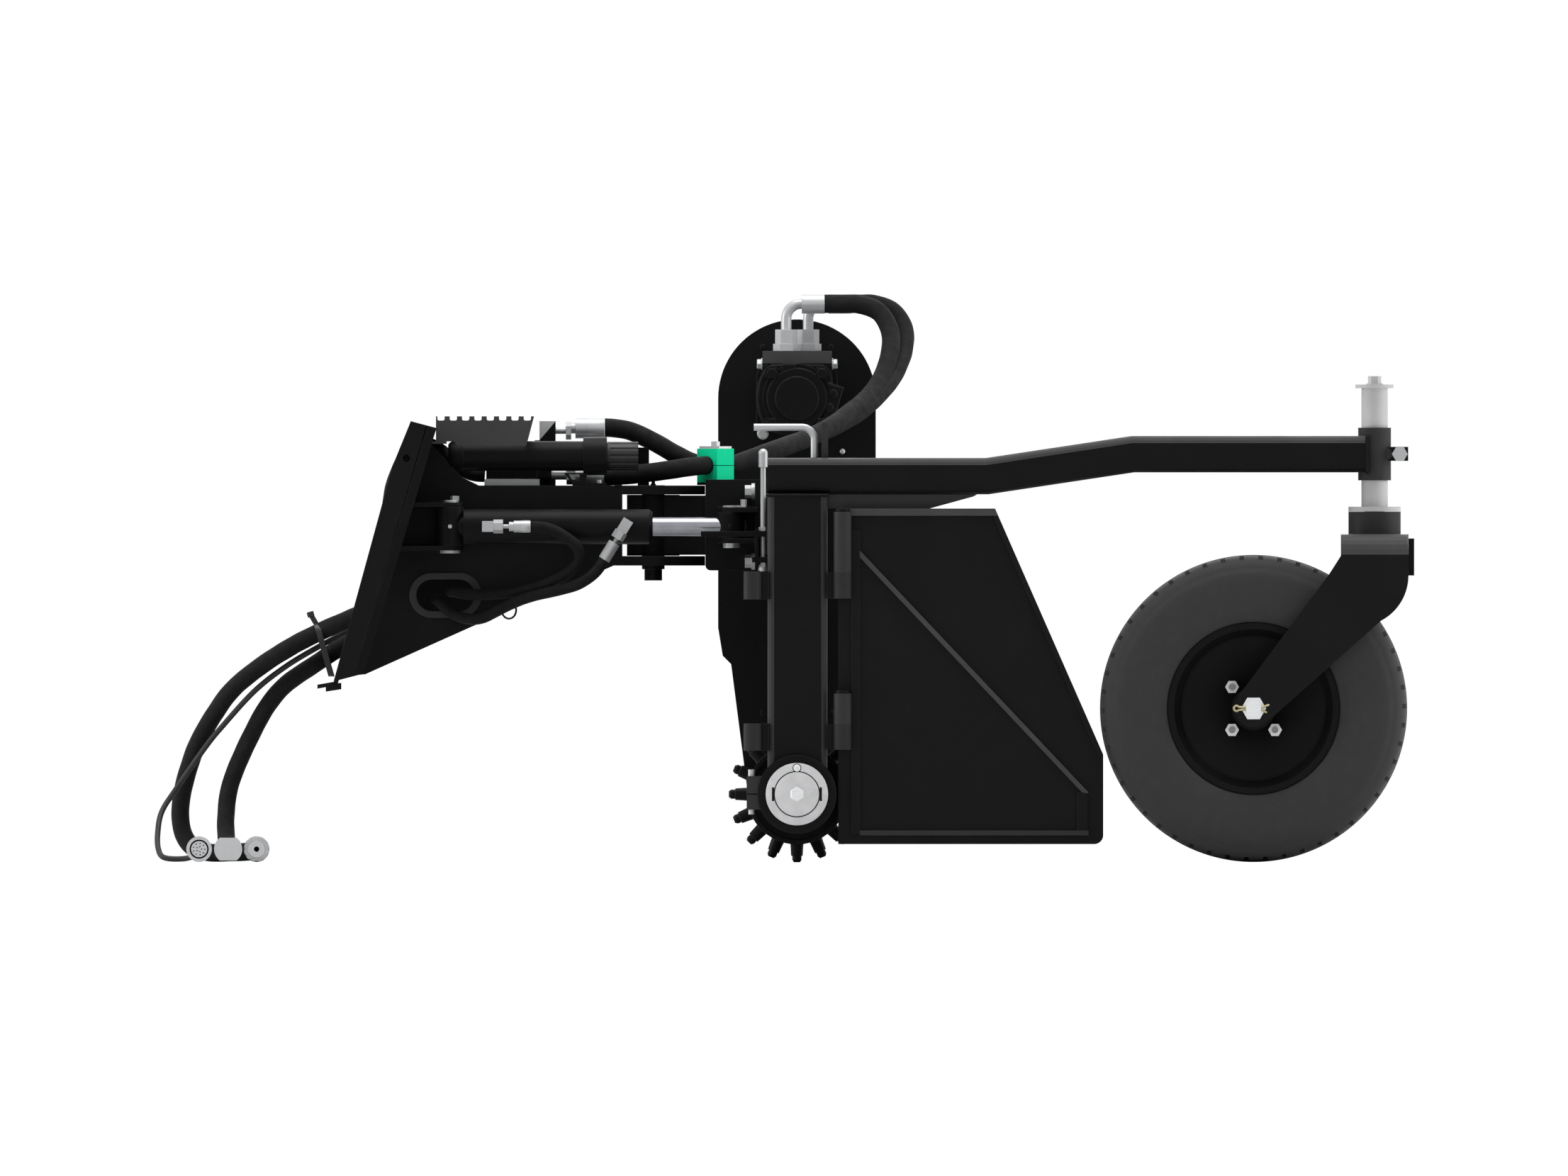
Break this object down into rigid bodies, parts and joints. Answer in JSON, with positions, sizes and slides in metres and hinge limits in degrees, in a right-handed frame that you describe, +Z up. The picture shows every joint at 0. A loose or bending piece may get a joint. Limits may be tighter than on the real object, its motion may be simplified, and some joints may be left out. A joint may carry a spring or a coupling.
{
  "type": "power box rake",
  "caption": "Power box rake: a toothed, chain-driven roller in an angling header on a loader coupler, with a hydraulic angle cylinder, hinged end panels and clamped caster wheels.",
  "frame": {"origin": "middle of the assembly's outline on the ground, without the free hoses and cable", "axes": "+X from the loader side towards the caster wheels, +Y across the rake, away from the picture's side, +Z up"},
  "size_m": [2.1042, 2.184, 0.9495],
  "materials": {
    "black_paint": "satin powder coat",
    "grip_tread": "satin powder coat",
    "zinc_plate": "zinc plated",
    "chrome_rod": "polished",
    "hose_rubber": "matt",
    "tyre_rubber": "matt",
    "clamp_plastic": "satin",
    "cap_plastic": "matt",
    "weathered_steel": "bare, lightly worn"
  },
  "bodies": {
    "mount": {"coupler_plate": "black_paint", "coupler_webs": "black_paint", "coupler_ledges": "black_paint", "boom": "black_paint", "boom_cheeks": "black_paint", "step_tread": "grip_tread", "manual_canister": "black_paint", "hose_grommet": "hose_rubber", "hose_gland": "hose_rubber", "valve_block": "zinc_plate", "kingpin": "black_paint", "cylinder_base_pin": "zinc_plate", "supply_hose_a": "hose_rubber", "supply_hose_b": "hose_rubber", "control_cable": "hose_rubber", "hose_couplers": "zinc_plate", "cable_plug": "zinc_plate", "feed_hoses": "hose_rubber"},
    "canister_cap": {"canister_cap": "cap_plastic"},
    "cylinder": {"cylinder_barrel": "black_paint", "cylinder_ports": "zinc_plate", "cylinder_hoses": "hose_rubber"},
    "rod": {"cylinder_rod": "chrome_rod"},
    "header": {"yoke": "black_paint", "yoke_bolts": "zinc_plate", "cross_beam": "black_paint", "mouldboard": "black_paint", "posts": "black_paint", "wheel_arm_near": "black_paint", "wheel_arm_far": "black_paint", "rod_pin": "zinc_plate", "hose_clamps": "clamp_plastic", "drive_case": "black_paint", "drive_cover": "black_paint", "hydraulic_motor": "black_paint", "motor_ports": "zinc_plate", "motor_hoses": "hose_rubber", "bearing_housings": "black_paint", "drive_chain": "weathered_steel", "indicator_rod": "zinc_plate"},
    "roller": {"roller_drum": "black_paint", "roller_shaft": "weathered_steel", "roller_sprocket": "zinc_plate"},
    "motor_shaft": {"motor_sprocket": "zinc_plate"},
    "hand_pin_near": {"hand_pin_near": "zinc_plate"},
    "hand_pin_far": {"hand_pin_far": "zinc_plate"},
    "spindle_near": {"spindle_near": "zinc_plate"},
    "spindle_far": {"spindle_far": "zinc_plate"},
    "fork_near": {"fork_near": "black_paint", "axle_near": "zinc_plate"},
    "fork_far": {"fork_far": "black_paint", "axle_far": "zinc_plate"},
    "wheel_near": {"rim_near": "black_paint", "tyre_near": "tyre_rubber"},
    "wheel_far": {"rim_far": "black_paint", "tyre_far": "tyre_rubber"},
    "end_panel_near": {"end_panel_near": "black_paint", "panel_pins_near": "zinc_plate"},
    "end_panel_far": {"end_panel_far": "black_paint", "panel_pins_far": "zinc_plate"}
  },
  "joints": [
    {"name": "header_angle", "type": "hinge", "parent": "mount", "child": "header", "pos_m": [-0.355, 0, 0.56], "axis": [0, 0, 1], "range_deg": [-20, 20], "deforming": ["feed_hoses"]},
    {"name": "cylinder_swing", "type": "hinge", "parent": "mount", "child": "cylinder", "pos_m": [-0.6945, -0.15, 0.5605], "axis": [0, 0, 1], "range_deg": [-5.6, 5.6], "deforming": ["cylinder_hoses"]},
    {"name": "rod_slide", "type": "slide", "parent": "cylinder", "child": "rod", "axis": [1, 0, 0], "range_m": [-0.0525, 0.0525]},
    {"name": "roller_spin", "type": "hinge", "parent": "header", "child": "roller", "pos_m": [-0.115, 0, 0.1138], "axis": [0, 1, 0], "continuous": true, "deforming": ["drive_chain"]},
    {"name": "motor_spin", "type": "hinge", "parent": "header", "child": "motor_shaft", "pos_m": [-0.115, 0.868, 0.77523], "axis": [0, 1, 0], "continuous": true},
    {"name": "canister_cap_pull", "type": "slide", "parent": "mount", "child": "canister_cap", "axis": [1, 0, 0], "range_m": [0, 0.06]},
    {"name": "hand_pin_lift_near", "type": "slide", "parent": "header", "child": "hand_pin_near", "axis": [0, 0, 1], "range_m": [0, 0.04]},
    {"name": "caster_height_near", "type": "slide", "parent": "header", "child": "spindle_near", "axis": [0, 0, 1], "range_m": [-0.005, 0.04]},
    {"name": "caster_swivel_near", "type": "hinge", "parent": "spindle_near", "child": "fork_near", "pos_m": [0.8498, -0.95, 0.58], "axis": [0, 0, 1], "continuous": true},
    {"name": "wheel_spin_near", "type": "hinge", "parent": "fork_near", "child": "wheel_near", "pos_m": [0.6477, -0.95, 0.257], "axis": [0, 1, 0], "continuous": true},
    {"name": "end_panel_swing_near", "type": "hinge", "parent": "header", "child": "end_panel_near", "pos_m": [-0.0387, -1.01, 0.4], "axis": [0, 0, -1], "range_deg": [0, 90]},
    {"name": "hand_pin_lift_far", "type": "slide", "parent": "header", "child": "hand_pin_far", "axis": [0, 0, 1], "range_m": [0, 0.04]},
    {"name": "caster_height_far", "type": "slide", "parent": "header", "child": "spindle_far", "axis": [0, 0, 1], "range_m": [-0.005, 0.04]},
    {"name": "caster_swivel_far", "type": "hinge", "parent": "spindle_far", "child": "fork_far", "pos_m": [0.8498, 0.95, 0.58], "axis": [0, 0, 1], "continuous": true},
    {"name": "wheel_spin_far", "type": "hinge", "parent": "fork_far", "child": "wheel_far", "pos_m": [0.6477, 0.95, 0.257], "axis": [0, 1, 0], "continuous": true},
    {"name": "end_panel_swing_far", "type": "hinge", "parent": "header", "child": "end_panel_far", "pos_m": [-0.0387, 1.01, 0.4], "axis": [0, 0, 1], "range_deg": [0, 90]}
  ],
  "couplings": [
    {"joint": "cylinder_swing", "follows": "header_angle", "ratio": 0.2743},
    {"joint": "rod_slide", "follows": "header_angle", "m_per_rad": 0.1487},
    {"joint": "motor_spin", "follows": "roller_spin", "ratio": 0.68966}
  ]
}
